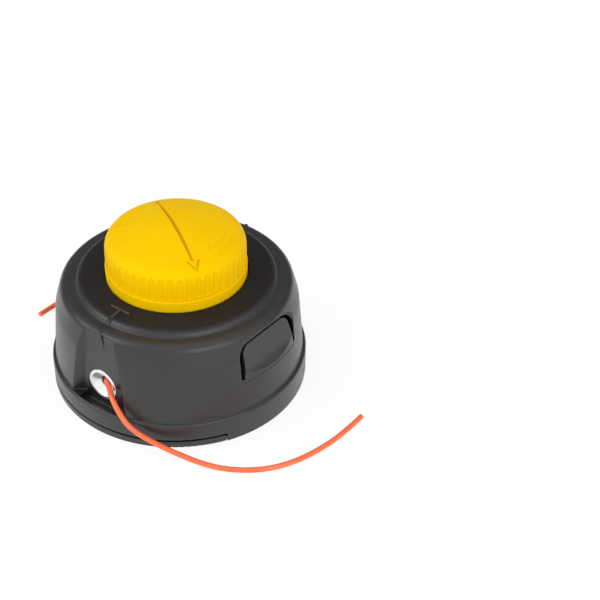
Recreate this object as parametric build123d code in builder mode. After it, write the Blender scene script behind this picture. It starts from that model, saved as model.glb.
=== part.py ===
from build123d import *
import os
from math import atan, cos, degrees, pi, radians, sin, tan

# Tap-and-feed trimmer head, standing on its drive side with the tap knob up.
# Millimetres. The front eyelet looks towards -Y, the right press tab towards +X.

# Housing cup, outline; the insets are measured inwards from the flange
flange_radius = 65.1
flange_top_z = 14.4
flange_ledge = 1.5
flange_edge_round = 1.3
knee_inset = 3.9
knee_z = 44.0
knee_round = 25.0
shoulder_inset = 7.5
shoulder_z = 56.7
shoulder_round = 4.4
lip_inset = 14.5
lip_flank = 1.5
lip_height = 2.8
lip_round = 4.2
valley_round = 1.2
roof_rise = 1.0
cup_wall = 2.8
roof_thickness = 3.0
skirt_half_angle = 28.0
skirt_wall = 3.0
skirt_gap = 0.5

# Eyelet recesses of the cup
eyelet_turn = 1.35
recess_inset = 8.0
recess_half_width = 11.9
recess_draft = 5.6
recess_side_slope = 50.0
recess_bottom_z = 11.2
recess_rim_wall = 2.4
recess_wall = 3.6
pad_margin = 5.5
slit_width = 1.3
slit_offset = 2.9
slit_lean = 1.1
slit_depth = 1.6
slit_bottom_z = 45.8
slit_length = 9.6

# Alignment marks on the roof
mark_height = 0.5
mark_rib_width = 1.6
mark_bar_inset = 9.6
mark_bar_length = 12.0
mark_bar_width = 1.0

# Press tabs
tab_inset = 7.0
tab_middle_z = 41.0
tab_tilt = 15.6
tab_half_width = 17.55
tab_taper = 7.1
tab_root_z = 31.0
tab_height = 18.6
tab_thickness = 2.6
tab_corner_round = 5.0
tab_side_gap = 2.95
tab_top_gap = 0.8
tab_root_gap = 0.2
slot_bottom_z = 32.6
slot_corner_round = 7.5
slot_depth = 6.0
tab_nib_height = 0.9
tab_nib_width = 8.0
tab_nib_length = 3.0
tab_nib_drop = 4.5
ramp_top_z = 34.9
ramp_slope = 45.0
ramp_round = 11.0
brow_z = 54.6
brow_slope = 40.0
brow_round = 4.0

# Hook arms of the drive cover, and the catches of the cup
arm_inset = 8.5
arm_thickness = 2.5
arm_half_width = 9.0
arm_top_z = 46.0
hook_reach = 1.9
hook_height = 5.0
hook_bottom_z = 29.2
catch_gap = 0.3
catch_height = 5.0

# Drive cover
cover_rim_height = 3.7
parting_gap = 1.2
parting_depth = 3.0
cover_recess = 1.6
cover_rim_width = 4.5
cover_boss_radius = 24.0
cover_rib_width = 2.4
cover_rib_count = 16
spigot_gap = 0.6
spigot_wall = 2.4
spigot_height = 4.0
hub_bore_radius = 14.2
hub_wall = 2.8
hub_top_z = 36.0
hub_root_round = 2.5

# Drive nut and its washer
thread_minor_radius = 4.32
nut_across_flats = 17.0
nut_hex_height = 9.0
nut_flange_height = 2.5
nut_gap = 0.1
nut_chamfer = 0.6
nut_washer_thickness = 1.5

# Ratchet rings, shared by cup, spool and cover
ratchet_inset = 4.5
ratchet_width = 4.5
ratchet_tooth_height = 2.0
ratchet_tooth_count = 12
ratchet_gap = 0.3
tooth_share = 0.8
tooth_root = 0.5

# Spool
bump_travel = 7.0
spool_rim_gap = 1.6
spool_core_radius = 24.0
spool_flange = 2.2
spool_width = 25.6
spool_web = 3.0
running_gap = 0.3
collar_wall = 3.4
collar_height = 8.0
anchor_hole_radius = 2.3
anchor_hole_depth = 5.0

# Tap knob
knob_radius = 35.3
knob_hole_gap = 0.6
knob_skirt_depth = 10.0
knob_band_height = 6.3
knob_band_step = 0.4
knob_height = 28.1
knob_crown = 6.9
knob_edge_round = 7.5
knob_wall = 2.6
knob_turn = 60.05
flute_count = 48
flute_radius = 2.2
flute_depth = 0.85
flute_length = 13.8
flute_lead = 0.4
groove_slope = 42.0
groove_depth = 1.5
groove_bend = 103.0
groove_tail = 28.3
groove_head = 27.0
barb_tip = 32.4
barb_length = 6.3
barb_width = 1.0
barb_spread = 27.4
barb_depth = 0.5
key_count = 4
key_width = 4.0
key_gap = 0.25
knob_boss_radius = 7.0
knob_rib_width = 2.6

# Knob screw
screw_shank_radius = 1.9
screw_length = 16.0
screw_head_radius = 4.2
screw_head_height = 2.6
screw_gap = 0.1
screw_slot_width = 1.1
screw_slot_depth = 1.3

# Spring, and the washer on its top
spring_mean_radius = 11.6
spring_wire_radius = 0.9
spring_turns = 6.0
spring_gap = 0.1
washer_thickness = 1.5
washer_bore_radius = 6.0
washer_rim_gap = 0.5

# Eyelets
eyelet_z = 24.0
eyelet_rim_radius = 8.6
eyelet_rim_height = 0.7
eyelet_rim_round = 0.5
eyelet_body_radius = 7.2
eyelet_gap = 0.05
eyelet_length = 6.6
eyelet_mouth_radius = 7.0
eyelet_mouth_depth = 3.0
eyelet_throat_radius = 3.3
eyelet_inner_flare = 1.2

# Cutting line
line_radius = 1.35
wound_inset = 8.0
wound_gap = 0.1
bend_share = 0.45

# Courses of the two line ends, from inside their eyelets to their cut ends on the floor
front_course = [
    (-1.2, -50.4, 24.3),
    (0.9, -55.0, 24.9),
    (6.7, -58.3, 24.7),
    (12.3, -62.4, 24.0),
    (18.2, -64.5, 20.2),
    (24.8, -64.2, 13.2),
    (35.1, -59.4, 6.5),
    (49.0, -54.6, 2.4),
    (63.7, -50.8, 1.4),
    (76.6, -44.2, 1.4),
    (87.2, -34.1, 1.4),
    (94.6, -20.0, 1.4),
    (98.8, -1.5, 1.4),
    (99.5, 13.8, 1.4),
    (99.3, 23.4, 1.4),
]
rear_course = [
    (1.2, 50.4, 24.3),
    (-0.9, 55.0, 24.9),
    (-6.7, 58.3, 24.7),
    (-12.3, 62.4, 24.0),
    (-18.2, 64.5, 20.2),
    (-24.8, 64.2, 13.2),
    (-35.1, 59.4, 6.5),
    (-48.4, 53.8, 2.4),
    (-61.0, 47.0, 1.4),
    (-71.2, 37.6, 1.4),
    (-78.8, 25.6, 1.4),
    (-83.6, 11.6, 1.4),
    (-85.6, -4.4, 1.4),
    (-85.6, -18.5, 1.4),
]

# Sizes and heights that follow from those above
far = 2 * flange_radius
knee_radius = flange_radius - knee_inset
shoulder_radius = flange_radius - shoulder_inset
lip_radius = flange_radius - lip_inset
recess_distance = flange_radius - recess_inset
tab_distance = flange_radius - tab_inset
arm_distance = tab_distance - arm_inset
spool_flange_radius = arm_distance - spool_rim_gap
ratchet_outer_radius = spool_flange_radius - ratchet_inset
ratchet_inner_radius = ratchet_outer_radius - ratchet_width
wound_radius = spool_flange_radius - wound_inset
mark_bar_radius = lip_radius - mark_bar_inset
roof_z = shoulder_z + lip_height
roof_under_z = roof_z - roof_thickness
parting_z = cover_rim_height + parting_gap
wall_foot_radius = flange_radius - flange_ledge
cavity_foot_radius = wall_foot_radius - cup_wall
skirt_inner_radius = flange_radius - skirt_wall
arm_outer = arm_distance + arm_thickness
hub_radius = hub_bore_radius + hub_wall
spool_bore_radius = hub_radius + running_gap
nut_flange_radius = hub_bore_radius - running_gap
nut_washer_z = nut_hex_height + nut_flange_height + nut_gap
spring_bottom_z = nut_washer_z + nut_washer_thickness + spring_gap
spool_tooth_z = cover_rim_height + ratchet_tooth_height + ratchet_gap + bump_travel
spool_bottom_z = spool_tooth_z + ratchet_tooth_height
chamber_z = spool_bottom_z + spool_flange
chamber_top_z = chamber_z + spool_width
spool_top_z = chamber_top_z + spool_flange
web_z = chamber_top_z + spool_flange / 2
web_top_z = web_z + spool_web
stop_ring_z = spool_top_z + 2 * ratchet_tooth_height + ratchet_gap
washer_z = web_z - running_gap - washer_thickness
washer_radius = hub_bore_radius - washer_rim_gap
spring_top_z = washer_z - spring_gap
knob_hole_radius = knob_radius + knob_hole_gap
knob_inner_radius = knob_radius - knob_wall
knob_barrel_radius = knob_radius - knob_band_step
knob_skirt_z = roof_z - knob_skirt_depth
knob_band_z = roof_z + knob_band_height
knob_apex_z = roof_z + knob_height
knob_edge_z = knob_apex_z - knob_crown
collar_radius = knob_inner_radius - running_gap
collar_inner_radius = collar_radius - collar_wall
screw_hole_radius = screw_shank_radius + 4 * screw_gap
eyelet_face = recess_distance + eyelet_rim_height
eyelet_end = eyelet_face - eyelet_length

# Face of the right press tab, leaning back with the wall
tab_face = Plane(
    origin=(tab_distance, 0, tab_middle_z),
    x_dir=(0, 1, 0),
    z_dir=(cos(radians(tab_tilt)), 0, sin(radians(tab_tilt))),
)
tab_root = (tab_root_z - tab_middle_z) / cos(radians(tab_tilt))
tab_centre = tab_root + tab_height / 2
ramp_top_x = tab_distance - (ramp_top_z - tab_middle_z) * tan(radians(tab_tilt))
brow_x = tab_distance - (brow_z - tab_middle_z) * tan(radians(tab_tilt))

# Knob's own plane: its local X runs along the arrow groove
knob_plane = Plane.XY.rotated((0, 0, knob_turn - 90))

os.makedirs("parts", exist_ok=True)


def turned(points, rounds):
    """Solid of revolution about Z from a closed section of radius and height."""
    with BuildPart() as body:
        with BuildSketch(Plane.XZ):
            with BuildLine():
                FilletPolyline(*points, radius=rounds, close=True)
            make_face()
        revolve(axis=Axis.Z)
    return body.part


def cup_form(skin):
    """The cup's outer form as a full solid, with a skin of the given thickness over it."""
    points = [
        (0, parting_z),
        (flange_radius + skin, parting_z),
        (flange_radius + skin, flange_top_z + skin),
        (wall_foot_radius + skin, flange_top_z + skin),
        (knee_radius + skin, knee_z),
        (shoulder_radius + skin, shoulder_z + skin),
        (lip_radius + skin, shoulder_z + skin),
        (lip_radius - lip_flank + skin, roof_z + skin),
        (knob_hole_radius, roof_z + roof_rise + skin),
        (0, roof_z + roof_rise + skin),
    ]
    rounds = [0, 0, flange_edge_round, 0, knee_round, shoulder_round, valley_round, lip_round, 0, 0]
    return turned(points, rounds)


def saw_tooth(base_z, rise):
    """One ratchet tooth on the +X side: a ramp with one upright flank, rising from base_z."""
    root = -tooth_root if rise > 0 else tooth_root
    half = ratchet_inner_radius * tan(pi / ratchet_tooth_count * tooth_share)
    with BuildPart() as tooth:
        with BuildSketch(Plane(origin=(0, 0, base_z), x_dir=(0, 1, 0), z_dir=(1, 0, 0))):
            with BuildLine():
                Polyline((-half, root), (half, root), (half, rise), (-half, 0), close=True)
            make_face()
        extrude(amount=far)
        with BuildSketch():
            Circle(ratchet_outer_radius)
            Circle(ratchet_inner_radius, mode=Mode.SUBTRACT)
        extrude(amount=far, mode=Mode.INTERSECT)
    return tooth.part


def ring_sector(inner_radius, outer_radius, half_angle, height):
    """Sector of a flat ring about the +X direction, standing on the floor."""
    with BuildPart() as sector:
        with BuildSketch():
            Circle(outer_radius)
            Circle(inner_radius, mode=Mode.SUBTRACT)
            edge = far * tan(radians(half_angle))
            with BuildLine():
                Polyline((0, 0), (far, -edge), (far, edge), close=True)
            make_face(mode=Mode.INTERSECT)
        extrude(amount=height)
    return sector.part


def tab_half(level):
    """Half width of the press tab at a level along its face."""
    return tab_half_width - level * tan(radians(tab_taper))


# Housing cup: the solid forms that make and cut it
cup_outside = cup_form(0)
cavity_points = [
    (0, parting_z - 1),
    (cavity_foot_radius, parting_z - 1),
    (knee_radius - cup_wall, knee_z),
    (shoulder_radius - cup_wall, shoulder_z - cup_wall),
    (lip_radius - cup_wall, shoulder_z - cup_wall),
    (lip_radius - cup_wall, roof_under_z),
    (0, roof_under_z),
]
cup_cavity = turned(cavity_points, [0, 0, knee_round, 0, 0, 0, 0])
stop_ring_points = [
    (ratchet_inner_radius, stop_ring_z),
    (ratchet_outer_radius, stop_ring_z),
    (ratchet_outer_radius, roof_under_z + roof_thickness / 2),
    (ratchet_inner_radius, roof_under_z + roof_thickness / 2),
]

# Thicker wall behind an eyelet recess
with BuildPart() as eyelet_pad:
    with Locations((0, recess_wall - recess_distance, recess_bottom_z - recess_rim_wall)):
        Box(
            2 * (recess_half_width + pad_margin),
            far,
            far,
            align=(Align.CENTER, Align.MAX, Align.MIN),
        )
    add(cup_outside, mode=Mode.INTERSECT)

# Thicker wall behind a press tab, and the catch below it
with BuildPart() as tab_pad:
    with BuildSketch(tab_face.offset(-tab_thickness)):
        with Locations((0, tab_centre)):
            Rectangle(2 * (tab_half_width + tab_side_gap + pad_margin), tab_height + 2 * pad_margin)
    extrude(amount=far)
    with Locations((arm_outer + catch_gap, 0, hook_bottom_z - catch_gap)):
        Box(
            far,
            2 * arm_half_width,
            catch_height,
            align=(Align.MIN, Align.CENTER, Align.MAX),
        )
    add(cup_outside, mode=Mode.INTERSECT)

# Recess with sloping sides around an eyelet, open upwards, with a pocket behind the flange's edge
with BuildPart() as eyelet_recess:
    flare = (far - recess_distance) * tan(radians(recess_side_slope))
    for level in (flange_top_z, 2 * roof_z - flange_top_z):
        half = recess_half_width - (level - eyelet_z) * tan(radians(recess_draft))
        with BuildSketch(Plane.XY.offset(level)):
            with BuildLine():
                Polyline(
                    (-half, -recess_distance),
                    (half, -recess_distance),
                    (half + flare, -far),
                    (-half - flare, -far),
                    close=True,
                )
            make_face()
    loft(ruled=True)
    with Locations((0, -recess_distance, recess_bottom_z)):
        Box(
            2 * recess_half_width,
            flange_radius - recess_rim_wall - recess_distance,
            flange_top_z - recess_bottom_z,
            align=(Align.CENTER, Align.MAX, Align.MIN),
        )
    with Locations(Plane(origin=(0, -recess_distance, eyelet_z), z_dir=(0, 1, 0))):
        Cylinder(
            eyelet_body_radius + eyelet_gap,
            recess_distance / 2,
            align=(Align.CENTER, Align.CENTER, Align.MIN),
        )
    slit_foot = (slit_offset, -recess_distance, slit_bottom_z)
    with BuildSketch(Plane(origin=slit_foot, x_dir=(1, 0, 0), z_dir=(0, -1, 0))):
        with BuildLine():
            Polyline(
                (0, 0),
                (slit_width / 2 - slit_lean, slit_length),
                (-slit_width / 2 - slit_lean, slit_length),
                close=True,
            )
        make_face()
    extrude(amount=slit_depth, both=True)

# Flat for a press tab across the wall, with a hollow ramp below it and a rounded brow above
with BuildPart() as tab_flat:
    with BuildSketch(Plane.XZ):
        with BuildLine():
            FilletPolyline(
                (ramp_top_x, ramp_top_z),
                (ramp_top_x + flange_radius, ramp_top_z - flange_radius * tan(radians(ramp_slope))),
                (ramp_top_x + flange_radius, far),
                (brow_x - (far - brow_z) / tan(radians(brow_slope)), far),
                (brow_x, brow_z),
                radius=[ramp_round, 0, 0, 0, brow_round],
                close=True,
            )
        make_face()
    extrude(amount=flange_radius, both=True)
    with Locations((0, 0, flange_top_z)):
        Box(
            2 * far,
            2 * far,
            far,
            align=(Align.CENTER, Align.CENTER, Align.MAX),
            mode=Mode.SUBTRACT,
        )
    with Locations((0, 0, roof_z - lip_height)):
        Box(
            2 * far,
            2 * far,
            far,
            align=(Align.CENTER, Align.CENTER, Align.MIN),
            mode=Mode.SUBTRACT,
        )

# Window around a press tab: wide slots beside it, narrow gaps at its root and top
with BuildPart() as tab_window:
    window_root = tab_root - tab_root_gap
    window_root_half = tab_half(window_root) + tab_root_gap
    slot_bottom = (slot_bottom_z - tab_middle_z) / cos(radians(tab_tilt))
    slot_inner = tab_half(slot_bottom) + tab_root_gap
    slot_outer = tab_half_width + tab_side_gap
    slot_top = tab_root + tab_height + tab_top_gap
    with BuildSketch(tab_face.offset(-slot_depth)):
        with BuildLine():
            FilletPolyline(
                (-window_root_half, window_root),
                (window_root_half, window_root),
                (slot_inner, slot_bottom),
                (slot_outer, slot_bottom),
                (slot_outer, slot_top),
                (-slot_outer, slot_top),
                (-slot_outer, slot_bottom),
                (-slot_inner, slot_bottom),
                radius=[0, 0, 0, 0, slot_corner_round, slot_corner_round, 0, 0],
                close=True,
            )
        make_face()
    extrude(amount=far)

# Raised alignment mark: a rib from the roof over the lip and shoulder, with a cross bar
with BuildPart() as alignment_mark:
    with Locations((0, -mark_bar_radius, flange_top_z)):
        Box(mark_rib_width, far, far, align=(Align.CENTER, Align.MAX, Align.MIN))
        Box(mark_bar_length, mark_bar_width, far, align=(Align.CENTER, Align.MAX, Align.MIN))
    with Locations((0, -recess_distance, flange_top_z)):
        Box(far, far, far, align=(Align.CENTER, Align.MAX, Align.MIN), mode=Mode.SUBTRACT)
    with Locations((0, 0, roof_under_z)):
        Box(far, far, far, align=(Align.CENTER, Align.CENTER, Align.MAX), mode=Mode.SUBTRACT)
    add(cup_form(mark_height), mode=Mode.INTERSECT)

# Housing cup
with BuildPart() as housing_cup:
    add(cup_outside)
    add(cup_cavity, mode=Mode.SUBTRACT)
    with PolarLocations(0, 2):
        add(ring_sector(skirt_inner_radius, flange_radius, skirt_half_angle, parting_z + 1))
        add(tab_pad.part)
        add(tab_flat.part, mode=Mode.SUBTRACT)
        add(tab_window.part, mode=Mode.SUBTRACT)
    with PolarLocations(0, 2, start_angle=eyelet_turn):
        add(eyelet_pad.part)
        add(eyelet_recess.part, mode=Mode.SUBTRACT)
        add(alignment_mark.part)
    add(turned(stop_ring_points, 0))
    with PolarLocations(0, ratchet_tooth_count):
        add(saw_tooth(stop_ring_z, -ratchet_tooth_height))
    with Locations((0, 0, roof_under_z)):
        Cylinder(knob_hole_radius, far, mode=Mode.SUBTRACT)
housing_cup.part.label = "housing_cup"
export_step(housing_cup.part, "parts/housing_cup.step")

# Press tabs: cut from the cup's own form, each with a nib that meets the hook arm behind it
with BuildPart() as release_tab_right:
    tab_top = tab_root + tab_height
    with BuildSketch(tab_face.offset(-tab_thickness)):
        with BuildLine():
            FilletPolyline(
                (-tab_half(tab_root), tab_root),
                (tab_half(tab_root), tab_root),
                (tab_half(tab_top), tab_top),
                (-tab_half(tab_top), tab_top),
                radius=[0, 0, tab_corner_round, tab_corner_round],
                close=True,
            )
        make_face()
    extrude(amount=far)
    add(cup_outside, mode=Mode.INTERSECT)
    add(tab_flat.part, mode=Mode.SUBTRACT)
    with BuildSketch(tab_face.offset(-tab_thickness)):
        with Locations((0, tab_top - tab_nib_drop)):
            Rectangle(tab_nib_width, tab_nib_length)
    extrude(amount=-tab_nib_height)
release_tab_right.part.label = "release_tab_right"
export_step(release_tab_right.part, "parts/release_tab_right.step")

with BuildPart() as release_tab_left:
    add(release_tab_right.part, rotation=(0, 0, 180))
release_tab_left.part.label = "release_tab_left"
export_step(release_tab_left.part, "parts/release_tab_left.step")

# Drive cover: rim, land under the cup, spigot inside it, plate, hub and nut seat
spigot_radius = cavity_foot_radius - spigot_gap
cover_points = [
    (0, 0),
    (cover_boss_radius, 0),
    (cover_boss_radius, cover_recess),
    (flange_radius - cover_rim_width, cover_recess),
    (flange_radius - cover_rim_width, 0),
    (flange_radius, 0),
    (flange_radius, cover_rim_height),
    (flange_radius - parting_depth, cover_rim_height),
    (flange_radius - parting_depth, parting_z),
    (spigot_radius, parting_z),
    (spigot_radius, cover_rim_height + spigot_height),
    (spigot_radius - spigot_wall, cover_rim_height + spigot_height),
    (spigot_radius - spigot_wall, cover_rim_height),
    (hub_radius, cover_rim_height),
    (hub_radius, hub_top_z),
    (hub_bore_radius, hub_top_z),
    (hub_bore_radius, nut_hex_height),
    (0, nut_hex_height),
]
cover_rounds = [0, 0, 0, 0, 0, flange_edge_round / 2, 0, 0, 0, 0, 0, 0, 0, hub_root_round, 0, 0, 0, 0]

# One hook arm, with its nose over the cup's catch
with BuildPart() as hook_arm:
    with BuildSketch(Plane.XZ):
        with BuildLine():
            Polyline(
                (arm_distance, cover_recess),
                (arm_outer, cover_recess),
                (arm_outer, hook_bottom_z),
                (arm_outer + hook_reach, hook_bottom_z),
                (arm_outer + hook_reach, hook_bottom_z + hook_height / 4),
                (arm_outer, hook_bottom_z + hook_height),
                (arm_outer, arm_top_z),
                (arm_distance, arm_top_z),
                close=True,
            )
        make_face()
    extrude(amount=arm_half_width, both=True)

with BuildPart() as drive_cover:
    add(turned(cover_points, cover_rounds))
    with PolarLocations((cover_boss_radius + flange_radius - cover_rim_width) / 2, cover_rib_count):
        Box(
            flange_radius - cover_rim_width - cover_boss_radius + cover_rib_width,
            cover_rib_width,
            2 * cover_recess,
            align=(Align.CENTER, Align.CENTER, Align.MIN),
        )
    with PolarLocations(0, ratchet_tooth_count):
        add(saw_tooth(cover_rim_height, ratchet_tooth_height))
    gap_angle = degrees(atan(skirt_gap / flange_radius))
    with PolarLocations(0, 2):
        add(hook_arm.part)
        add(
            ring_sector(skirt_inner_radius - skirt_gap, far, skirt_half_angle + gap_angle, parting_z),
            mode=Mode.SUBTRACT,
        )
    with BuildSketch():
        RegularPolygon(nut_across_flats / 2 + nut_gap, 6, major_radius=False)
    extrude(amount=nut_hex_height, mode=Mode.SUBTRACT)
drive_cover.part.label = "drive_cover"
export_step(drive_cover.part, "parts/drive_cover.step")

# Drive nut: hexagon in the cover's seat, flange on the seat's shoulder
with BuildPart() as drive_nut:
    with BuildSketch():
        RegularPolygon(nut_across_flats / 2, 6, major_radius=False)
    extrude(amount=nut_hex_height)
    with Locations((0, 0, nut_hex_height)):
        Cylinder(nut_flange_radius, nut_flange_height, align=(Align.CENTER, Align.CENTER, Align.MIN))
    Cylinder(thread_minor_radius, far, mode=Mode.SUBTRACT)
    chamfer(drive_nut.edges().filter_by(GeomType.CIRCLE).sort_by(Axis.Z)[-2:], length=nut_chamfer)
drive_nut.part.label = "drive_nut"
export_step(drive_nut.part, "parts/drive_nut.step")

# Washer over the nut, under the spring
with BuildPart() as nut_washer:
    with BuildSketch(Plane.XY.offset(nut_washer_z)):
        Circle(nut_flange_radius)
        Circle(washer_bore_radius, mode=Mode.SUBTRACT)
    extrude(amount=nut_washer_thickness)
nut_washer.part.label = "nut_washer"
export_step(nut_washer.part, "parts/nut_washer.step")

# Spring
with BuildPart() as bump_spring:
    spring_height = spring_top_z - spring_bottom_z - 2 * spring_wire_radius
    with BuildLine() as coil:
        Helix(
            spring_height / spring_turns,
            spring_height,
            spring_mean_radius,
            center=(0, 0, spring_bottom_z + spring_wire_radius),
        )
    with BuildSketch(Plane(origin=coil.line @ 0, z_dir=coil.line % 0)):
        Circle(spring_wire_radius)
    sweep(path=coil.line, is_frenet=True)
bump_spring.part.label = "bump_spring"
export_step(bump_spring.part, "parts/bump_spring.step")

# Washer between the spring and the turning spool
with BuildPart() as spring_washer:
    with BuildSketch(Plane.XY.offset(washer_z)):
        Circle(washer_radius)
        Circle(washer_bore_radius, mode=Mode.SUBTRACT)
    extrude(amount=washer_thickness)
spring_washer.part.label = "spring_washer"
export_step(spring_washer.part, "parts/spring_washer.step")

# Spool: core, two flanges, web, and a collar that keys into the knob
spool_points = [
    (screw_hole_radius, web_z),
    (spool_bore_radius, web_z),
    (spool_bore_radius, spool_bottom_z),
    (spool_flange_radius, spool_bottom_z),
    (spool_flange_radius, chamber_z),
    (spool_core_radius, chamber_z),
    (spool_core_radius, chamber_top_z),
    (spool_flange_radius, chamber_top_z),
    (spool_flange_radius, spool_top_z),
    (collar_radius, spool_top_z),
    (collar_radius, spool_top_z + collar_height),
    (collar_inner_radius, spool_top_z + collar_height),
    (collar_inner_radius, web_top_z),
    (screw_hole_radius, web_top_z),
]
with BuildPart() as spool:
    add(turned(spool_points, 0))
    with PolarLocations(0, ratchet_tooth_count):
        add(saw_tooth(spool_top_z, ratchet_tooth_height))
        add(saw_tooth(spool_bottom_z, -ratchet_tooth_height))
    with BuildSketch(knob_plane.offset(web_top_z)):
        with PolarLocations((collar_radius + collar_inner_radius) / 2, key_count):
            Rectangle(2 * collar_wall, key_width + 2 * key_gap)
    extrude(amount=far, mode=Mode.SUBTRACT)
    with PolarLocations(0, 2, start_angle=knob_turn - 90):
        with Locations(Plane(origin=(spool_core_radius, 0, eyelet_z), z_dir=(-1, 0, 0))):
            Cylinder(
                anchor_hole_radius,
                anchor_hole_depth,
                align=(Align.CENTER, Align.CENTER, Align.MIN),
                mode=Mode.SUBTRACT,
            )
spool.part.label = "spool"
export_step(spool.part, "parts/spool.step")

# Wound line: its turns lie side by side in the spool's chamber
with BuildPart() as wound_line:
    turn_count = int(spool_width / (2 * line_radius))
    turn_z = (chamber_z + chamber_top_z) / 2 - turn_count * line_radius
    with BuildSketch(Plane.XZ):
        with BuildLine():
            crest = wound_radius
            valley = wound_radius - line_radius
            for turn in range(turn_count):
                low = turn_z + turn * 2 * line_radius
                ThreePointArc((valley, low), (crest, low + line_radius), (valley, low + 2 * line_radius))
            top = turn_z + turn_count * 2 * line_radius
            Polyline(
                (valley, top),
                (spool_core_radius + wound_gap, top),
                (spool_core_radius + wound_gap, turn_z),
                (valley, turn_z),
            )
        make_face()
    revolve(axis=Axis.Z)
wound_line.part.label = "wound_line"
export_step(wound_line.part, "parts/wound_line.step")


def knob_form(shrink):
    """The knob's outer form as a full solid, shrunk by a skin of the given thickness."""
    barrel = knob_barrel_radius - shrink
    with BuildPart() as form:
        with BuildSketch(Plane.XZ) as section:
            with BuildLine():
                crown = TangentArc((0, knob_apex_z - shrink), (barrel, knob_edge_z - shrink), tangent=(1, 0))
                Polyline(
                    crown @ 1,
                    (barrel, knob_band_z),
                    (knob_radius - shrink, knob_band_z - knob_band_step),
                    (knob_radius - shrink, knob_skirt_z),
                    (0, knob_skirt_z),
                    crown @ 0,
                )
            make_face()
            edge = section.vertices().sort_by_distance((barrel, knob_edge_z - shrink))[0]
            fillet(edge, radius=knob_edge_round - shrink)
        revolve(axis=Axis.Z)
    return form.part


# Barbs of the arrow: two bars cut to a shallow depth into the knob's top
with BuildPart() as arrow_barbs:
    with BuildSketch(knob_plane.offset(knob_band_z)):
        for side in (-1, 1):
            with Locations(Location((barb_tip, 0), side * barb_spread)):
                Rectangle(barb_length, barb_width, align=(Align.MAX, Align.CENTER))
    extrude(amount=far)
    add(knob_form(barb_depth), mode=Mode.SUBTRACT)

# Ribs inside the knob, above the spool's collar
with BuildPart() as knob_ribs:
    with BuildSketch(knob_plane.offset(spool_top_z + collar_height + running_gap)):
        with PolarLocations(0, key_count):
            Rectangle(knob_radius, knob_rib_width, align=(Align.MIN, Align.CENTER))
    extrude(amount=far)
    add(knob_form(knob_wall / 2), mode=Mode.INTERSECT)

# Shaft of the arrow: a groove with sloping sides that follows the dome
with BuildPart() as arrow_groove:
    groove_floor_z = knob_apex_z - groove_depth
    groove_side = knob_crown * tan(radians(groove_slope))
    with BuildSketch(Plane(origin=(0, 0, groove_floor_z), x_dir=knob_plane.y_dir, z_dir=knob_plane.x_dir)):
        with BuildLine():
            Polyline((0, 0), (groove_side, knob_crown), (-groove_side, knob_crown), close=True)
        make_face()
    revolve(axis=Axis((0, 0, groove_floor_z - groove_bend), knob_plane.y_dir))
    with BuildSketch(knob_plane.offset(knob_band_z)):
        with Locations(((groove_head - groove_tail) / 2, 0)):
            Rectangle(groove_head + groove_tail, 2 * groove_side)
    extrude(amount=knob_height, mode=Mode.INTERSECT)

# Tap knob: fluted dome with an arrow, inner boss, ribs and keys
with BuildPart() as bump_knob:
    add(knob_form(0))
    add(knob_form(knob_wall), mode=Mode.SUBTRACT)
    add(knob_ribs.part)
    with BuildSketch(knob_plane.offset(knob_skirt_z)):
        with PolarLocations(knob_radius - knob_wall / 2, key_count):
            Rectangle(collar_wall + knob_wall / 2, key_width, align=(Align.MAX, Align.CENTER))
    extrude(amount=2 * collar_height)
    with BuildSketch(Plane.XY.offset(web_top_z)):
        Circle(knob_boss_radius)
    extrude(amount=knob_apex_z - knob_wall - web_top_z)
    with PolarLocations(knob_barrel_radius + flute_radius - flute_depth, flute_count):
        with Locations((0, 0, knob_band_z + flute_lead)):
            Cylinder(
                flute_radius,
                flute_length,
                align=(Align.CENTER, Align.CENTER, Align.MIN),
                mode=Mode.SUBTRACT,
            )
    add(arrow_groove.part, mode=Mode.SUBTRACT)
    add(arrow_barbs.part, mode=Mode.SUBTRACT)
    with Locations((0, 0, web_top_z)):
        Cylinder(
            screw_shank_radius + screw_gap,
            screw_length,
            align=(Align.CENTER, Align.CENTER, Align.MIN),
            mode=Mode.SUBTRACT,
        )
bump_knob.part.label = "bump_knob"
export_step(bump_knob.part, "parts/bump_knob.step")

# Knob screw, its head under the spool's web
with BuildPart() as knob_screw:
    with Locations((0, 0, web_z)):
        Cylinder(screw_head_radius, screw_head_height, align=(Align.CENTER, Align.CENTER, Align.MAX))
    fillet(knob_screw.edges().sort_by(Axis.Z)[0], radius=screw_head_height / 2)
    with BuildSketch(Plane.XY.offset(web_z - screw_head_height)):
        Rectangle(screw_head_radius, screw_slot_width)
        Rectangle(screw_slot_width, screw_head_radius)
    extrude(amount=screw_slot_depth, mode=Mode.SUBTRACT)
    with Locations((0, 0, web_z)):
        Cylinder(screw_shank_radius, screw_length, align=(Align.CENTER, Align.CENTER, Align.MIN))
knob_screw.part.label = "knob_screw"
export_step(knob_screw.part, "parts/knob_screw.step")


def eyelet(side):
    """Flanged eyelet with a wide conical mouth; side is -1 in front and 1 at the rear."""
    section = [
        (eyelet_mouth_radius, eyelet_face),
        (eyelet_rim_radius, eyelet_face),
        (eyelet_rim_radius, recess_distance),
        (eyelet_body_radius, recess_distance),
        (eyelet_body_radius, eyelet_end),
        (eyelet_throat_radius + eyelet_inner_flare, eyelet_end),
        (eyelet_throat_radius, eyelet_end + eyelet_inner_flare),
        (eyelet_throat_radius, eyelet_face - eyelet_mouth_depth),
    ]
    with BuildPart() as ferrule:
        with BuildSketch(Plane.XY.offset(eyelet_z)):
            with BuildLine():
                FilletPolyline(
                    *[(radius, side * distance) for radius, distance in section],
                    radius=[0, eyelet_rim_round, 0, 0, 0, 0, 0, 0],
                    close=True,
                )
            make_face()
        revolve(axis=Axis((0, 0, eyelet_z), (0, 1, 0)))
    return ferrule.part


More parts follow.
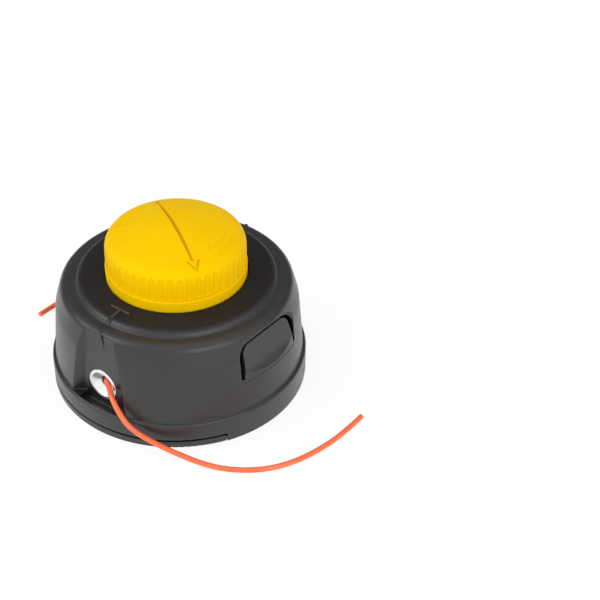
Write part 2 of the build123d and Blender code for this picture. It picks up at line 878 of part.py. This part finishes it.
with BuildPart() as eyelet_front:
    add(eyelet(-1), rotation=(0, 0, eyelet_turn))
eyelet_front.part.label = "eyelet_front"
export_step(eyelet_front.part, "parts/eyelet_front.step")

with BuildPart() as eyelet_rear:
    add(eyelet(1), rotation=(0, 0, eyelet_turn))
eyelet_rear.part.label = "eyelet_rear"
export_step(eyelet_rear.part, "parts/eyelet_rear.step")


def bend_radii(course):
    """Largest tangent arc that the two runs at each inner point of a course leave room for."""
    radii = []
    for before, here, after in zip(course, course[1:], course[2:]):
        run_in = Vector(*here) - Vector(*before)
        run_out = Vector(*after) - Vector(*here)
        half_turn = radians(run_in.get_angle(run_out)) / 2
        radii.append(bend_share * min(run_in.length, run_out.length) / tan(half_turn))
    return radii


def line_end(name, course):
    """Round line along a course of straight runs and tangent arcs."""
    radii = bend_radii(course)
    with BuildPart() as tube:
        with BuildLine() as path:
            FilletPolyline(*course, radius=radii)
        wire = path.wire()
        with BuildSketch(Plane(origin=wire @ 0, z_dir=wire % 0)):
            Circle(line_radius)
        sweep(path=wire)
    ideal = pi * line_radius**2 * wire.length
    print(name, "radii", [round(r, 1) for r in radii])
    print(name, "length", round(wire.length, 1), "volume share", round(tube.part.volume / ideal, 5))
    return tube.part


with BuildPart() as trimmer_line_front:
    add(line_end("trimmer_line_front", front_course))
trimmer_line_front.part.label = "trimmer_line_front"
export_step(trimmer_line_front.part, "parts/trimmer_line_front.step")

with BuildPart() as trimmer_line_rear:
    add(line_end("trimmer_line_rear", rear_course))
trimmer_line_rear.part.label = "trimmer_line_rear"
export_step(trimmer_line_rear.part, "parts/trimmer_line_rear.step")
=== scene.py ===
import math

import bmesh
import bpy
from mathutils import Matrix, Vector


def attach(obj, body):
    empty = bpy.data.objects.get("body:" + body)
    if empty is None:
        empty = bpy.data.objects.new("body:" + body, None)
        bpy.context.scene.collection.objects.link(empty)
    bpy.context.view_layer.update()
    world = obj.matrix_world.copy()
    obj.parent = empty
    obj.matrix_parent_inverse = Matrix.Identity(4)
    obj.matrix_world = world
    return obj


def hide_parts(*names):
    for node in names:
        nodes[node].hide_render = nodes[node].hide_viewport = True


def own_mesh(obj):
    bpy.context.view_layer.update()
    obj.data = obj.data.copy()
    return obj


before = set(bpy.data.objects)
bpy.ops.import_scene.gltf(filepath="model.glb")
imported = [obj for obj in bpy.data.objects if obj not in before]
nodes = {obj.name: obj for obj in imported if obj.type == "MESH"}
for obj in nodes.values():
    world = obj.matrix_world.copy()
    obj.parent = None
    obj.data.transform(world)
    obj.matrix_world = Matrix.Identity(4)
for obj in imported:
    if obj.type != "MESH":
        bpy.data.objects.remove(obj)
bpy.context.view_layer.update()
scene = bpy.context.scene
scene.view_settings.view_transform = "Standard"


# Materials, all procedural, in the frame's coordinates and metres


def empty_tree(owner):
    """The cleared node tree of a material or of the world."""
    owner.use_nodes = True
    owner.node_tree.nodes.clear()
    return owner.node_tree


class Nodes:
    """Short calls for building one material's node tree."""

    def __init__(self, name):
        self.material = bpy.data.materials.new(name)
        self.tree = empty_tree(self.material)
        output = self.add("ShaderNodeOutputMaterial")
        self.shader = self.add("ShaderNodeBsdfPrincipled")
        self.feed(self.shader.outputs["BSDF"], output, "Surface")
        self.place = self.add("ShaderNodeTexCoord").outputs["Object"]

    def add(self, kind, **settings):
        node = self.tree.nodes.new(kind)
        for key, value in settings.items():
            setattr(node, key, value)
        return node

    def feed(self, value, node, entry):
        self.tree.links.new(value, node.inputs[entry])

    def set(self, **values):
        for key, value in values.items():
            self.shader.inputs[key.replace("_", " ")].default_value = value

    def to_shader(self, **links):
        for key, value in links.items():
            self.feed(value, self.shader, key.replace("_", " "))

    def coordinates(self):
        node = self.add("ShaderNodeSeparateXYZ")
        self.feed(self.place, node, "Vector")
        return node.outputs

    def mapped(self, stretch):
        if stretch is None:
            return self.place
        node = self.add("ShaderNodeMapping")
        node.inputs["Scale"].default_value = stretch
        self.feed(self.place, node, "Vector")
        return node.outputs["Vector"]

    def noise(self, scale, detail=3.0, roughness=0.55, stretch=None):
        node = self.add("ShaderNodeTexNoise")
        node.inputs["Scale"].default_value = scale
        node.inputs["Detail"].default_value = detail
        node.inputs["Roughness"].default_value = roughness
        self.feed(self.mapped(stretch), node, "Vector")
        return node.outputs["Fac"]

    def cells(self, scale):
        node = self.add("ShaderNodeTexVoronoi")
        node.inputs["Scale"].default_value = scale
        self.feed(self.place, node, "Vector")
        return node.outputs["Distance"]

    def ramp(self, value, stops):
        node = self.add("ShaderNodeValToRGB")
        self.feed(value, node, "Fac")
        ramp = node.color_ramp
        while len(ramp.elements) < len(stops):
            ramp.elements.new(0.5)
        for element, (position, colour) in zip(ramp.elements, stops):
            element.position = position
            element.color = (*colour, 1.0)
        return node.outputs["Color"]

    def remap(self, value, low, high, start=0.0, end=1.0):
        """Low where the value is at the start, high where it is at the end, and clamped outside."""
        node = self.add("ShaderNodeMapRange")
        self.feed(value, node, "Value")
        node.inputs["From Min"].default_value = start
        node.inputs["From Max"].default_value = end
        node.inputs["To Min"].default_value = low
        node.inputs["To Max"].default_value = high
        return node.outputs["Result"]

    def mix(self, factor, first, second):
        node = self.add("ShaderNodeMix", data_type="RGBA")
        self.feed(factor, node, "Factor")
        self.feed(first, node, "A")
        node.inputs["B"].default_value = (*second, 1.0)
        return node.outputs["Result"]

    def math(self, kind, first, second=None):
        node = self.add("ShaderNodeMath", operation=kind)
        for entry, value in zip(node.inputs, (first, second)):
            if isinstance(value, (int, float)):
                entry.default_value = value
            elif value is not None:
                self.tree.links.new(value, entry)
        return node.outputs["Value"]

    def times(self, first, second):
        return self.math("MULTIPLY", first, second)

    def off(self, value, centre):
        """How far the value is from the centre, on either side."""
        return self.math("ABSOLUTE", self.math("SUBTRACT", value, centre))

    def length(self, *values):
        """Root of the sum of the squares."""
        total = self.math("POWER", values[0], 2.0)
        for value in values[1:]:
            total = self.math("ADD", total, self.math("POWER", value, 2.0))
        return self.math("SQRT", total)

    def bump(self, height, strength, distance, normal=None):
        node = self.add("ShaderNodeBump")
        node.inputs["Strength"].default_value = strength
        node.inputs["Distance"].default_value = distance
        self.feed(height, node, "Height")
        if normal is not None:
            self.feed(normal, node, "Normal")
        return node.outputs["Normal"]

    def rounded(self, radius):
        node = self.add("ShaderNodeBevel", samples=6)
        node.inputs["Radius"].default_value = radius
        return node.outputs["Normal"]


# The cup's roof and the valley round it have a duller, spark-eroded grain
ROOF_GRAIN_Z = (0.0584, 0.0597)
VALLEY_Z = 0.0567
VALLEY_REACH = (0.0002, 0.0009)
ROUGHER = 0.25
WALL_SHINE, ROOF_SHINE = 0.72, 0.26

# The roof's slope between two radii; what stands proud of it, the alignment marks, gets a painted
# pale highlight, as if light caught its top
ROOF_RADII = (0.0365, 0.0491)
ROOF_Z = (0.0605, 0.0595)
PROUD = (0.0002, 0.0004)
PROUD_HIGHLIGHT_COLOUR = (0.021, 0.019, 0.0185)

# Painted shade: the gap between the cup and the drive cover is painted near black, and its
# reflection is turned off
PARTING_Z = 0.0043
PARTING_REACH = (0.0006, 0.0008)
PARTING_RADII = (0.0638, 0.0644)
GAP_SHADE_COLOUR = (0.0015, 0.0014, 0.0014)


def moulded_nylon(name, dark, light, speck, edge):
    """Fibre-filled nylon: near black, finely grained, with pale fibre specks and dull patches."""
    m = Nodes(name)
    parts = m.coordinates()
    height = parts["Z"]
    radius = m.length(parts["X"], parts["Y"])

    base = m.ramp(m.noise(38.0, detail=4.0), [(0.3, dark), (0.7, light)])
    specks = m.remap(m.noise(1500.0, detail=1.0), 0.0, 1.0, start=0.63, end=0.74)
    spread = m.remap(m.noise(160.0, detail=2.0), 0.1, 0.6, start=0.35, end=0.7)
    own_colour = m.mix(m.times(specks, spread), base, speck)
    # Painted highlight: the raised alignment marks above the roof's slope are painted paler, as
    # light catching their tops
    slope = m.remap(radius, *ROOF_Z, *ROOF_RADII)
    proud_highlight = m.remap(m.math("SUBTRACT", height, slope), 0.0, 1.0, *PROUD)
    with_highlight = m.mix(proud_highlight, own_colour, PROUD_HIGHLIGHT_COLOUR)
    # Painted shade: the parting gap between the parts is painted near black, where shade falls
    sunk = m.remap(radius, 1.0, 0.0, *PARTING_RADII)
    painted_shade = m.times(sunk, m.remap(m.off(height, PARTING_Z), 1.0, 0.0, *PARTING_REACH))
    m.to_shader(Base_Color=m.mix(painted_shade, with_highlight, GAP_SHADE_COLOUR))

    roof = m.times(m.remap(height, 0.0, 1.0, *ROOF_GRAIN_Z), m.math("SUBTRACT", 1.0, proud_highlight))
    valley = m.remap(m.off(height, VALLEY_Z), 0.6, 0.0, *VALLEY_REACH)
    rougher = m.times(m.math("MAXIMUM", roof, valley), ROUGHER)
    patches = m.remap(m.noise(70.0, detail=4.0), 0.3, 0.38, start=0.3, end=0.7)
    m.to_shader(Roughness=m.math("ADD", patches, rougher))
    shine = m.remap(roof, WALL_SHINE, ROOF_SHINE)
    # The painted shade in the parting gap also takes away its reflection
    m.to_shader(Specular_IOR_Level=m.times(shine, m.math("SUBTRACT", 1.0, painted_shade)))
    grain = m.noise(1150.0, detail=3.0, roughness=0.65)
    m.to_shader(Normal=m.bump(grain, strength=0.32, distance=0.0001, normal=m.rounded(edge)))
    return m.material


# The knob's dome; what lies below its sphere, the arrow groove, gets painted shade
DOME_APEX_Z = 0.0875
DOME_RADIUS = 0.0917
DOME_CENTRE_Z = DOME_APEX_Z - DOME_RADIUS
GROOVE_DEPTH = (0.0001, 0.0011)
GROOVE_WITHIN = (0.0300, 0.0312)
GROOVE_ABOVE = (0.078, 0.079)
GROOVE_SHADE_COLOUR = (0.6, 0.32, 0.0)
GROOVE_SHADE_SHARE = 0.75


def satin_plastic(name, shade, body, pale, roughness, grain_strength, edge):
    """Coloured moulding with faint clouds, pale flow marks, a fine grain and painted shade in its
    groove.
    """
    m = Nodes(name)
    parts = m.coordinates()
    base = m.ramp(m.noise(55.0, detail=4.0), [(0.28, shade), (0.72, body)])
    flow = m.noise(22.0, detail=3.0, stretch=(1.0, 1.0, 4.0))
    own_colour = m.mix(m.remap(flow, 0.0, 0.35, start=0.5, end=0.8), base, pale)
    # Painted shade: the arrow groove below the dome's sphere is painted darker, the deeper the
    # darker
    rise = m.math("SUBTRACT", parts["Z"], DOME_CENTRE_Z)
    depth = m.math("SUBTRACT", DOME_RADIUS, m.length(parts["X"], parts["Y"], rise))
    inside = m.remap(m.length(parts["X"], parts["Y"]), 1.0, 0.0, *GROOVE_WITHIN)
    upper = m.remap(parts["Z"], 0.0, 1.0, *GROOVE_ABOVE)
    painted_shade = m.times(m.times(inside, upper), m.remap(depth, 0.0, GROOVE_SHADE_SHARE, *GROOVE_DEPTH))
    m.to_shader(Base_Color=m.mix(painted_shade, own_colour, GROOVE_SHADE_COLOUR))
    patches = m.noise(90.0, detail=3.0)
    m.to_shader(Roughness=m.remap(patches, roughness - 0.06, roughness + 0.06, start=0.3, end=0.7))
    m.set(Specular_IOR_Level=0.16, Specular_Tint=(1.0, 0.72, 0.1, 1.0))
    grain = m.noise(1800.0, detail=2.0)
    m.to_shader(
        Normal=m.bump(grain, strength=grain_strength, distance=0.00005, normal=m.rounded(edge))
    )
    return m.material


# Lathe marks on turned metal, in radians per metre of radius and metres
RING_RATE = 21000.0
RING_WANDER = 0.00025


def turned_metal(name, bright, dull, second, centre):
    """Lathe-turned metal with small scuffs: fine rings round x = 0 and a centre on another axis."""
    m = Nodes(name)
    parts = m.coordinates()
    radius = m.length(parts["X"], m.math("SUBTRACT", parts[second], centre))
    wander = m.times(m.noise(300.0, detail=2.0), RING_WANDER)
    rings = m.math("SINE", m.times(m.math("ADD", radius, wander), RING_RATE))
    scuffs = m.noise(420.0, detail=5.0)
    m.to_shader(Base_Color=m.ramp(scuffs, [(0.3, dull), (0.6, bright)]))
    m.to_shader(Roughness=m.remap(scuffs, 0.46, 0.3, start=0.35, end=0.65))
    m.to_shader(Normal=m.bump(rings, strength=0.12, distance=0.00004, normal=m.rounded(0.0003)))
    m.set(Metallic=1.0)
    return m.material


def drawn_line(name, dark, light):
    """Extruded cutting line: glossy, slightly clear, with fine drawing marks and uneven dye."""
    m = Nodes(name)
    m.to_shader(Base_Color=m.ramp(m.noise(85.0, detail=3.0), [(0.3, dark), (0.7, light)]))
    marks = m.noise(520.0, detail=3.0)
    m.to_shader(Roughness=m.remap(marks, 0.16, 0.26, start=0.3, end=0.7))
    m.to_shader(Normal=m.bump(marks, strength=0.07, distance=0.00005))
    m.set(Specular_IOR_Level=0.8, Subsurface_Weight=0.18, Subsurface_Scale=0.0016)
    m.set(Subsurface_Radius=(1.0, 0.35, 0.15))
    return m.material


def plated_steel(name, dark, light):
    """Zinc-plated steel: faint crystals and a cloudy, slightly warm film."""
    m = Nodes(name)
    film = m.noise(210.0, detail=4.0)
    m.to_shader(Base_Color=m.ramp(film, [(0.3, dark), (0.7, light)]))
    m.to_shader(Roughness=m.remap(film, 0.28, 0.44, start=0.3, end=0.7))
    crystals = m.cells(900.0)
    m.to_shader(Normal=m.bump(crystals, strength=0.08, distance=0.00004, normal=m.rounded(0.0002)))
    m.set(Metallic=1.0)
    return m.material


def dress(material, *names):
    for name in names:
        slots = nodes[name].data.materials
        slots.clear()
        slots.append(material)


nylon = moulded_nylon(
    "housing_nylon",
    dark=(0.0075, 0.0066, 0.0068),
    light=(0.0115, 0.01, 0.0103),
    speck=(0.045, 0.043, 0.043),
    edge=0.0011,
)
tab_nylon = moulded_nylon(
    "tab_nylon",
    dark=(0.0115, 0.0108, 0.011),
    light=(0.0155, 0.0145, 0.015),
    speck=(0.045, 0.045, 0.045),
    edge=0.0006,
)
spool_nylon = moulded_nylon(
    "spool_nylon",
    dark=(0.03, 0.03, 0.032),
    light=(0.045, 0.045, 0.047),
    speck=(0.14, 0.14, 0.14),
    edge=0.0003,
)
knob_yellow = satin_plastic(
    "knob_yellow",
    shade=(0.92, 0.545, 0.0),
    body=(0.95, 0.585, 0.0),
    pale=(0.97, 0.625, 0.002),
    roughness=0.6,
    grain_strength=0.25,
    edge=0.0005,
)
eyelet_metal = turned_metal(
    "eyelet_metal", (0.93, 0.93, 0.94), (0.8, 0.8, 0.81), second="Z", centre=0.024
)
line_orange = drawn_line("line_orange", (0.98, 0.12, 0.022), (1.0, 0.165, 0.036))
steel = plated_steel("plated_steel", (0.5, 0.5, 0.5), (0.66, 0.65, 0.62))
nut_steel = turned_metal("nut_steel", (0.66, 0.65, 0.63), (0.5, 0.5, 0.5), second="Y", centre=0.0)

dress(nylon, "housing_cup", "drive_cover")
dress(tab_nylon, "release_tab_right", "release_tab_left")
dress(knob_yellow, "bump_knob")
dress(eyelet_metal, "eyelet_front", "eyelet_rear")
dress(line_orange, "wound_line")
dress(spool_nylon, "spool")
dress(steel, "bump_spring", "knob_screw")
dress(nut_steel, "drive_nut", "nut_washer", "spring_washer")


# Knob spring, a copy of the spring's mesh riding on the housing


def knob_spring():
    node = nodes["bump_spring"]
    piece = bpy.data.objects.new("knob_spring", node.data.copy())
    piece.matrix_world = node.matrix_world.copy()
    scene.collection.objects.link(piece)
    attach(piece, "housing")
    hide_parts("bump_spring")
    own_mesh(piece)


knob_spring()


# Line ends, each from inside its eyelet down to the floor and then along it

LINE_DIAMETER = 0.0027
DROP = [
    (-0.0012, -0.0504, 0.0243),
    (0.0009, -0.0550, 0.0249),
    (0.0067, -0.0583, 0.0247),
    (0.0123, -0.0624, 0.0240),
    (0.0182, -0.0645, 0.0202),
    (0.0248, -0.0642, 0.0132),
    (0.0351, -0.0594, 0.0065),
]
FRONT_ROUTE = DROP + [
    (0.0490, -0.0546, 0.0024),
    (0.0637, -0.0508, 0.0014),
    (0.0766, -0.0442, 0.0014),
    (0.0872, -0.0341, 0.0014),
    (0.0946, -0.0200, 0.0014),
    (0.0988, -0.0015, 0.0014),
    (0.0995, 0.0138, 0.0014),
    (0.0993, 0.0234, 0.0014),
]
REAR_ROUTE = [(-x, -y, z) for x, y, z in DROP] + [
    (-0.0484, 0.0538, 0.0024),
    (-0.0610, 0.0470, 0.0014),
    (-0.0712, 0.0376, 0.0014),
    (-0.0788, 0.0256, 0.0014),
    (-0.0836, 0.0116, 0.0014),
    (-0.0856, -0.0044, 0.0014),
    (-0.0856, -0.0185, 0.0014),
]


def line_end(name, node, route):
    curve = bpy.data.curves.new(name, "CURVE")
    curve.dimensions = "3D"
    curve.resolution_u = 12
    curve.bevel_depth = LINE_DIAMETER / 2
    curve.bevel_resolution = 6
    curve.use_fill_caps = True
    spline = curve.splines.new("NURBS")
    spline.points.add(len(route) - 1)
    for point, place in zip(spline.points, route):
        point.co = (*place, 1.0)
    spline.order_u = 3
    spline.use_endpoint_u = True
    spline.use_smooth = True
    curve.materials.append(line_orange)
    piece = bpy.data.objects.new(name, curve)
    scene.collection.objects.link(piece)
    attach(piece, "housing")
    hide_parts(node)


line_end("line_front", "trimmer_line_front", FRONT_ROUTE)
line_end("line_rear", "trimmer_line_rear", REAR_ROUTE)


# Raised outlines of the two turn arrows on the knob's dome, from radii and degrees round the axis

ARROW_INNER, ARROW_OUTER = 0.0244, 0.0284
ARROW_TAIL, ARROW_NECK = 124.0, 90.0
ARROW_HEAD = [(0.0294, 88.0), (0.0250, 81.8), (0.0224, 88.0)]
ARROW_STEPS = 12
ARROW_BEAD = 0.00045


def turn_arrow(name, turn):
    """Block arrow in outline, laid on the dome; half of its bead is sunk."""
    span = ARROW_TAIL - ARROW_NECK
    shaft = [ARROW_NECK + span * k / ARROW_STEPS for k in range(ARROW_STEPS + 1)]
    path = [(ARROW_OUTER, azimuth) for azimuth in reversed(shaft)] + ARROW_HEAD
    path += [(ARROW_INNER, azimuth) for azimuth in shaft]
    curve = bpy.data.curves.new(name, "CURVE")
    curve.dimensions = "3D"
    curve.bevel_depth = ARROW_BEAD
    curve.bevel_resolution = 3
    spline = curve.splines.new("POLY")
    spline.points.add(len(path) - 1)
    for point, (radius, azimuth) in zip(spline.points, path):
        angle = math.radians(azimuth + turn)
        height = DOME_CENTRE_Z + math.sqrt(DOME_RADIUS**2 - radius**2)
        point.co = (radius * math.sin(angle), -radius * math.cos(angle), height, 1.0)
    spline.use_cyclic_u = True
    curve.materials.append(knob_yellow)
    piece = bpy.data.objects.new(name, curve)
    scene.collection.objects.link(piece)
    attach(piece, "spool_unit")


turn_arrow("turn_arrow_near", 0.0)
turn_arrow("turn_arrow_far", 180.0)


# Round brows that carry the cup's shoulder over the press tabs, in millimetres until the mesh

MM = 0.001

# Distances from the drive axis at a height, and how much nearer each millimetre higher is
WALL_Z, WALL_RADIUS, WALL_LEAN = 44.0, 61.2, 0.2835
FLAT_Z, FLAT_DISTANCE, FLAT_LEAN = 41.0, 58.1, 0.2792
SLOPE_Z, SLOPE_DISTANCE, SLOPE_LEAN = 54.6, 54.3, 1.1918

# The shoulder's round, as radius and height, from an angle above the level up to the step
SHOULDER_CENTRE = (54.27, 52.3)
SHOULDER_ROUND = 4.4
SHOULDER_FROM = 15.8
SHOULDER_Z = 53.5
STEP_Z = 56.7
STEP_RADII = (52.9, 51.5)
UNDER_SKIN = 0.04

# The brow's lower edge, highest in the middle, and how its inside lies below and behind the skin
BROW_HALF_ANGLE = 24.0
BROW_COLUMNS = 36
WALL_ROWS = 6
ROUND_ROWS = 10
EDGE_Z = 53.35
EDGE_ARCH = 0.0085
END_DROP, END_FROM = 0.05, 14.0
INSIDE_BELOW = 0.8
INSIDE_SLOPE = 0.85
INSIDE_BEHIND = 0.7
SHARP_ANGLE = 35.0


def wall_radius(z):
    return WALL_RADIUS - WALL_LEAN * (z - WALL_Z)


def flat_distance(z):
    """Distance from the drive axis of the flat above a press tab, or of its sloped top."""
    flat = FLAT_DISTANCE - FLAT_LEAN * (z - FLAT_Z)
    slope = SLOPE_DISTANCE - SLOPE_LEAN * (z - SLOPE_Z)
    return min(flat, slope)


def brow_profile(degrees):
    """Radius, height and share of the underside's slope, for the skin from its edge to the step."""
    past_end = max(abs(degrees) - END_FROM, 0.0)
    edge_z = EDGE_Z - EDGE_ARCH * degrees**2 - END_DROP * past_end**2
    rows = []
    for k in range(WALL_ROWS):
        z = edge_z + (SHOULDER_Z - edge_z) * k / WALL_ROWS
        rows.append((wall_radius(z) - UNDER_SKIN, z, 1.0 - k / WALL_ROWS))
    radius, height = SHOULDER_CENTRE
    reach = SHOULDER_ROUND - UNDER_SKIN
    for k in range(ROUND_ROWS + 1):
        turn = math.radians(SHOULDER_FROM + (90.0 - SHOULDER_FROM) * k / ROUND_ROWS)
        rows.append((radius + reach * math.cos(turn), height + reach * math.sin(turn), 0.0))
    rows += [(step_radius, STEP_Z - UNDER_SKIN, 0.0) for step_radius in STEP_RADII]
    return rows


def brow_faces(columns, rows):
    """Faces of a closed shell from an outer and an inner grid of points, column by column."""
    shift = (columns + 1) * rows
    faces = []
    for j in range(columns):
        for k in range(rows - 1):
            a, b = j * rows + k, (j + 1) * rows + k
            faces.append((a, b, b + 1, a + 1))
            faces.append((shift + a, shift + a + 1, shift + b + 1, shift + b))
        a, b = j * rows, (j + 1) * rows
        faces.append((a, shift + a, shift + b, b))
        a, b = a + rows - 1, b + rows - 1
        faces.append((a, b, shift + b, shift + a))
    for k in range(rows - 1):
        a, b = k, columns * rows + k
        faces.append((a, a + 1, shift + a + 1, shift + a))
        faces.append((b, shift + b, shift + b + 1, b + 1))
    return faces


def brow(name, side):
    """Closed shell: the shoulder's skin outside, and inside it a face sunk under the tab's flat."""
    outer, inner = [], []
    for j in range(BROW_COLUMNS + 1):
        degrees = -BROW_HALF_ANGLE + 2 * BROW_HALF_ANGLE * j / BROW_COLUMNS
        angle = math.radians(degrees)
        profile = brow_profile(degrees)
        for radius, z, slope in profile:
            x, y = radius * math.cos(angle), radius * math.sin(angle)
            gap = max(x - flat_distance(z), 0.0)
            low = z - INSIDE_BELOW - INSIDE_SLOPE * gap * slope
            behind = min(x, flat_distance(low)) - INSIDE_BEHIND
            outer.append((side * x * MM, side * y * MM, z * MM))
            inner.append((side * behind * MM, side * y * MM, low * MM))
    mesh = bpy.data.meshes.new(name)
    mesh.from_pydata(outer + inner, [], brow_faces(BROW_COLUMNS, len(profile)))
    mesh.polygons.foreach_set("use_smooth", [True] * len(mesh.polygons))
    mesh.set_sharp_from_angle(angle=math.radians(SHARP_ANGLE))
    mesh.materials.append(nylon)
    piece = bpy.data.objects.new(name, mesh)
    scene.collection.objects.link(piece)
    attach(piece, "housing")


brow("brow_right", 1.0)
brow("brow_left", -1.0)


# Stage, light and camera

FLOOR_RADIUS = 12.0
FLOOR_Z = -0.0001
FLOOR_COLOUR = (0.93, 0.93, 0.93, 1.0)
FLOOR_GLOW = 1.05
GLOW_SHARE = 0.8

# The tent's bright side, and its strength there and on the far side
TENT_TOWARDS = (0.48, -0.64, 0.6)
TENT_FROM, TENT_TO = -0.45, 0.6
TENT_REAR, TENT_FRONT = 0.3, 1.24

# The camera's axes and place, from the view fitted to the photograph
CAMERA_RIGHT = (0.79151, 0.61098, 0.01529)
CAMERA_UP = (-0.37920, 0.47132, 0.79629)
CAMERA_BACK = (0.47931, -0.63607, 0.60472)
CAMERA_PLACE = (0.3901, -0.4153, 0.4726)
SENSOR_WIDTH = 36.0
FOCAL_LENGTH = 84.46
CLIP_START = 0.01


def floor_material():
    """Pale matte floor that also glows for the camera and in reflections, so it stays white."""
    material = bpy.data.materials.new("floor_pale")
    tree = empty_tree(material)
    output = tree.nodes.new("ShaderNodeOutputMaterial")
    mix = tree.nodes.new("ShaderNodeMixShader")
    matte = tree.nodes.new("ShaderNodeBsdfDiffuse")
    matte.inputs["Color"].default_value = FLOOR_COLOUR
    glow = tree.nodes.new("ShaderNodeEmission")
    glow.inputs["Strength"].default_value = FLOOR_GLOW
    path = tree.nodes.new("ShaderNodeLightPath")
    seen = path.outputs["Is Camera Ray"]
    for ray in ("Is Glossy Ray", "Is Transmission Ray"):
        either = tree.nodes.new("ShaderNodeMath")
        either.operation = "MAXIMUM"
        tree.links.new(seen, either.inputs[0])
        tree.links.new(path.outputs[ray], either.inputs[1])
        seen = either.outputs["Value"]
    share = tree.nodes.new("ShaderNodeMath")
    share.operation = "MULTIPLY"
    share.inputs[1].default_value = GLOW_SHARE
    tree.links.new(seen, share.inputs[0])
    tree.links.new(share.outputs["Value"], mix.inputs["Fac"])
    tree.links.new(matte.outputs["BSDF"], mix.inputs[1])
    tree.links.new(glow.outputs["Emission"], mix.inputs[2])
    tree.links.new(mix.outputs["Shader"], output.inputs["Surface"])
    return material


def add_floor():
    mesh = bpy.data.meshes.new("floor")
    work = bmesh.new()
    bmesh.ops.create_circle(work, cap_ends=True, segments=64, radius=FLOOR_RADIUS)
    work.to_mesh(mesh)
    work.free()
    mesh.materials.append(floor_material())
    floor = bpy.data.objects.new("floor", mesh)
    floor.location.z = FLOOR_Z
    scene.collection.objects.link(floor)


def add_world():
    """White tent, bright in front of the head and above it, and dim behind it."""
    scene.world = bpy.data.worlds.new("studio")
    tree = empty_tree(scene.world)
    output = tree.nodes.new("ShaderNodeOutputWorld")
    back = tree.nodes.new("ShaderNodeBackground")
    place = tree.nodes.new("ShaderNodeTexCoord")
    facing = tree.nodes.new("ShaderNodeVectorMath")
    facing.operation = "DOT_PRODUCT"
    facing.inputs[1].default_value = TENT_TOWARDS
    level = tree.nodes.new("ShaderNodeMapRange")
    level.interpolation_type = "SMOOTHSTEP"
    level.inputs["From Min"].default_value = TENT_FROM
    level.inputs["From Max"].default_value = TENT_TO
    level.inputs["To Min"].default_value = TENT_REAR
    level.inputs["To Max"].default_value = TENT_FRONT
    tree.links.new(place.outputs["Generated"], facing.inputs[0])
    tree.links.new(facing.outputs["Value"], level.inputs["Value"])
    tree.links.new(level.outputs["Result"], back.inputs["Strength"])
    tree.links.new(back.outputs["Background"], output.inputs["Surface"])


def add_softbox(name, place, target, side, power):
    light = bpy.data.lights.new(name, "AREA")
    light.shape = "RECTANGLE"
    light.size = side
    light.size_y = side
    light.energy = power
    lamp = bpy.data.objects.new(name, light)
    lamp.location = place
    lamp.rotation_euler = (Vector(target) - Vector(place)).to_track_quat("-Z", "Y").to_euler()
    scene.collection.objects.link(lamp)


def add_camera():
    camera = bpy.data.cameras.new("camera")
    camera.sensor_fit = "HORIZONTAL"
    camera.sensor_width = SENSOR_WIDTH
    camera.lens = FOCAL_LENGTH
    camera.clip_start = CLIP_START
    holder = bpy.data.objects.new("camera", camera)
    turn = Matrix((CAMERA_RIGHT, CAMERA_UP, CAMERA_BACK)).transposed().to_4x4()
    holder.matrix_world = Matrix.Translation(CAMERA_PLACE) @ turn
    scene.collection.objects.link(holder)
    scene.camera = holder


add_floor()
add_world()
add_softbox("key", (-0.8, -0.85, 0.95), (0.0, 0.0, 0.04), side=0.9, power=5.0)
add_softbox("side", (1.1, -0.4, 0.5), (0.0, 0.0, 0.04), side=0.8, power=2.6)
add_softbox("top", (-0.2, 0.2, 1.5), (0.0, 0.0, 0.05), side=0.9, power=0.6)
add_camera()
